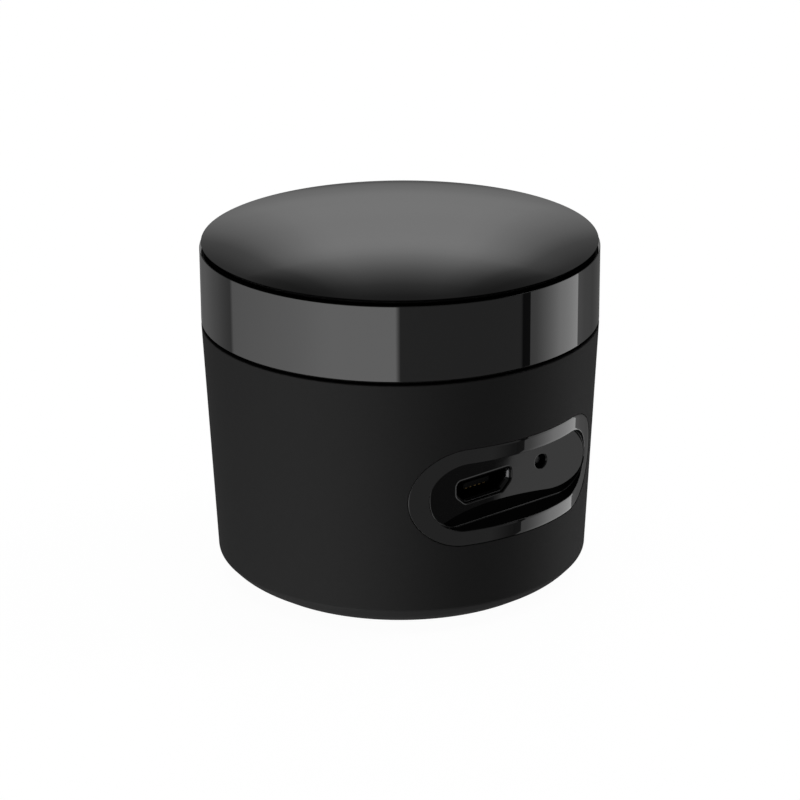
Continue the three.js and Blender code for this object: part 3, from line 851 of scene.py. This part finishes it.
def build_foot():
    """A rubber disc with two shallow grooves that keep it from sliding."""
    radius = pad_high.x
    height = pad_high.z
    groove_depth = 0.3
    groove_width = 0.7
    corners = [(0, 0)]
    for groove in (9.5, 13.0):
        corners += [
            (groove, 0, 0.12),
            (groove + 0.15, groove_depth, 0.1),
            (groove + groove_width - 0.15, groove_depth, 0.1),
            (groove + groove_width, 0, 0.12),
        ]
    corners += [(radius - 0.35, 0, 0.3), (radius, 0.35, 0.3), (radius, height, 0.1), (0, height)]
    mesh = turned_mesh("foot_disc", filleted(corners, 4))
    add_piece("foot_disc", mesh, "rubber", HOUSING, ["foot_pad"])


# ---------------------------------------------------------------- port bay

ARC_COUNT = 40
STRAIGHT_COUNT = 40


def bay_outline(half_width, half_height, grow=0.0):
    """A stadium about the middle of the bay, as points (x, z)."""
    points = stadium(half_width + grow, half_height + grow, ARC_COUNT, STRAIGHT_COUNT)
    return [(x, BAY_Z + z) for x, z in points]


def build_bezel():
    """A ring flush with the body's side, whose inner wall runs back past the plate."""
    edge = 0.01
    sunk = 0.04
    mouth = 0.07
    bead = 0.11
    steps = 4
    face_steps = 6
    work = bmesh.new()
    outer = bay_outline(BEZEL_HALF_WIDTH, BEZEL_HALF_HEIGHT, -BEZEL_GAP)
    loops = [add_loop(work, [(x, BEZEL_BACK_Y, z) for x, z in outer])]

    def surface_loop(points, depth):
        loops.append(add_loop(work, [
            on_cone(x, z) + Vector((0, sunk + depth, 0)) for x, z in points
        ]))

    for step in range(steps + 1):
        angle = math.pi / 2 * step / steps
        grow = -BEZEL_GAP - edge * (1 - math.cos(angle))
        points = bay_outline(BEZEL_HALF_WIDTH, BEZEL_HALF_HEIGHT, grow)
        surface_loop(points, edge * (1 - math.sin(angle)))
    outer_face = bay_outline(BEZEL_HALF_WIDTH, BEZEL_HALF_HEIGHT, -BEZEL_GAP - edge)
    inner_face = bay_outline(BAY_HALF_WIDTH, BAY_HALF_HEIGHT, mouth)
    for step in range(1, face_steps):
        t = step / face_steps
        surface_loop([
            (x0 + (x1 - x0) * t, z0 + (z1 - z0) * t)
            for (x0, z0), (x1, z1) in zip(outer_face, inner_face)
        ], 0)
    for step in range(steps + 1):
        angle = math.pi / 2 * step / steps
        points = bay_outline(BAY_HALF_WIDTH, BAY_HALF_HEIGHT, mouth * (1 - math.sin(angle)))
        surface_loop(points, mouth * (1 - math.cos(angle)))
    bead_front = PLATE_Y - 0.01
    wall = []
    for step in range(steps + 1):
        angle = math.pi / 2 * step / steps
        wall.append((bead * (math.cos(angle) - 1), bead_front - bead * (1 - math.sin(angle))))
    wall += [(-bead, bead_front + 0.004), (0, bead_front + 0.006), (0, BEZEL_BACK_Y)]
    for grow, y in wall:
        points = bay_outline(BAY_HALF_WIDTH, BAY_HALF_HEIGHT, grow)
        loops.append(add_loop(work, [(x, y, z) for x, z in points]))
    for first, second in zip(loops, loops[1:] + loops[:1]):
        join_loops(work, first, second)
    mesh = mesh_from("bay_bezel", work)
    add_piece("bay_bezel", mesh, "gloss_black", HOUSING, ["port_bezel"])


def socket_outline(grow):
    """The micro-B outline, wide side up, with rounded corners, as points (x, z)."""
    half_top = 3.75
    half_bottom = 2.65
    half_height = 1.12
    shoulder = -0.15
    corners = [
        (-half_top, half_height, 0.35),
        (-half_top, shoulder, 0.5),
        (-half_bottom, -half_height, 0.5),
        (half_bottom, -half_height, 0.5),
        (half_top, shoulder, 0.5),
        (half_top, half_height, 0.35),
    ]
    points = offset_outline(filleted(corners, 5), grow)
    return [(SOCKET_X + x, SOCKET_Z + z) for x, z in points]


def circle_outline(x, z, radius, count=40):
    """Points (x, z) round a circle, anticlockwise."""
    angles = [2 * math.pi * i / count for i in range(count)]
    return [(x + radius * math.cos(a), z + radius * math.sin(a)) for a in angles]


def fill_face(work, loops):
    """Fills the flat face bounded by the first loop, with the others as holes in it."""
    edges = []
    for loop in loops:
        for i in range(len(loop)):
            pair = (loop[i - 1], loop[i])
            edges.append(work.edges.get(pair) or work.edges.new(pair))
    bmesh.ops.triangle_fill(work, edges=edges, use_beauty=True)


def build_plate():
    """The flat back of the bay, with rounded edges round the socket and the reset hole."""
    # The edges' radii: the plate's own rim, the socket's opening and the reset hole
    edges = (0.05, 0.06, 0.08)
    flat = 0.12
    socket_gap = 0.33
    steps = 5
    work = bmesh.new()

    def outlines(grows):
        return [
            bay_outline(PLATE_HALF_WIDTH, PLATE_HALF_HEIGHT, -grows[0]),
            socket_outline(socket_gap + grows[1]),
            circle_outline(RESET_X, RESET_Z, RESET_HOLE_RADIUS + grows[2]),
        ]

    chains = [[], [], []]

    def add_step(grows, depths):
        for chain, points, depth in zip(chains, outlines(grows), depths):
            chain.append(add_loop(work, [(x, PLATE_Y + depth, z) for x, z in points]))

    add_step([edge + flat for edge in edges], (0, 0, 0))
    for step in range(steps + 1):
        angle = math.pi / 2 * step / steps
        grows = [edge * (1 - math.sin(angle)) for edge in edges]
        add_step(grows, [edge * (1 - math.cos(angle)) for edge in edges])
    add_step((0, 0, 0), [PLATE_BACK_Y - PLATE_Y] * 3)
    for chain in chains:
        for first, second in zip(chain, chain[1:]):
            join_loops(work, first, second)
    fill_face(work, [chain[0] for chain in chains])
    fill_face(work, [chain[-1] for chain in chains])
    mesh = mesh_from("bay_plate", work)
    add_piece("bay_plate", mesh, "gloss_black", HOUSING, ["port_plate"])


def build_socket_shell():
    """Rolled steel can whose mouth flares out to guide the plug."""
    work = bmesh.new()
    front = PLATE_Y + 0.2
    wall = 0.22
    # Each step is how far the outline is grown and its y, from the back out over the lip
    outside = [
        (0.0, SOCKET_BACK_Y), (0.0, front + 0.75), (0.03, front + 0.55), (0.12, front + 0.28),
        (0.22, front + 0.08), (0.25, front + 0.02), (0.24, front - 0.04), (0.19, front - 0.06),
        (0.13, front - 0.03),
    ]
    inside = [(grow - wall, y + 0.05) for grow, y in reversed(outside[:5])]
    loops = [
        add_loop(work, [(x, y, z) for x, z in socket_outline(grow)])
        for grow, y in outside + inside[:-1] + [(-wall, SOCKET_BACK_Y)]
    ]
    for first, second in zip(loops, loops[1:] + loops[:1]):
        join_loops(work, first, second)
    mesh = mesh_from("socket_can", work)
    # The can's darkened steel colour is painted shade of the port bay.
    add_piece("socket_can", mesh, "socket_steel_painted_shade", HOUSING, ["usb_shell"])


def build_reset():
    """The button's stem, with a domed tip that shows in the reset hole, and its collar."""
    stem = 0.6
    collar = 1.25
    front = tip_low.y
    back = tip_high.y
    collar_front = -17.0
    collar_back = -16.5
    corners = [
        (0, 0), (stem * 0.7, 0.0, 0.2), (stem, 0.18, 0.15),
        (stem, collar_front - front, 0.08), (collar, collar_front - front, 0.12),
        (collar, collar_back - front, 0.12), (stem, collar_back - front, 0.08),
        (stem, back - front, 0.1), (0, back - front),
    ]
    mesh = turned_mesh("reset_pin", filleted(corners, 4), 64)
    for vertex in mesh.vertices:
        x, y, z = vertex.co / MM
        vertex.co = Vector((RESET_X + x, front + z, RESET_Z - y)) * MM
    mesh.update()
    add_piece("reset_pin", mesh, "dark_plastic", BUTTON, ["reset_button"])


# ---------------------------------------------------------------- carried-over nodes

CARRIED_BEVEL = 0.06
CARRIED_BEVELS = {"main_board": 0.05, "led_board": 0.05, "base_plate": 0.15}
CARRIED_EDGE_ANGLE = math.radians(40)
# The tongue and contacts take darkened colours: painted shade of the port bay.
CARRIED_LOOKS = {"usb_tongue": "socket_core_painted_shade"}
CARRIED_LOOKS.update({f"usb_contact_{i}": "socket_gold_painted_shade" for i in range(1, 6)})
REPLACED = {
    "body_shell", "window_band", "top_lid", "seam_gasket", "lid_seal", "foot_pad",
    "port_bezel", "port_plate", "usb_shell", "reset_button",
}


def dress_carried_nodes():
    """Gives each node that keeps its CAD shape its material and softened edges."""
    slots = {entry["node"]: entry["material_slot"] for entry in frame["record"]["subparts"]}
    for node, objects in frame["nodes"].items():
        if node in REPLACED:
            continue
        for piece in objects if isinstance(objects, (list, tuple)) else [objects]:
            piece.data.materials.clear()
            piece.data.materials.append(MATERIALS[CARRIED_LOOKS.get(node, slots[node])])
            soften = piece.modifiers.new("soft_edges", "BEVEL")
            soften.width = CARRIED_BEVELS.get(node, CARRIED_BEVEL) * MM
            soften.segments = 2
            soften.limit_method = "ANGLE"
            soften.angle_limit = CARRIED_EDGE_ANGLE
            soften.use_clamp_overlap = True


# ---------------------------------------------------------------- assembly

make_camera()
make_world()
make_floor()
build_body()
build_band()
build_lid()
build_rings()
build_foot()
build_bezel()
build_plate()
build_socket_shell()
build_reset()
dress_carried_nodes()
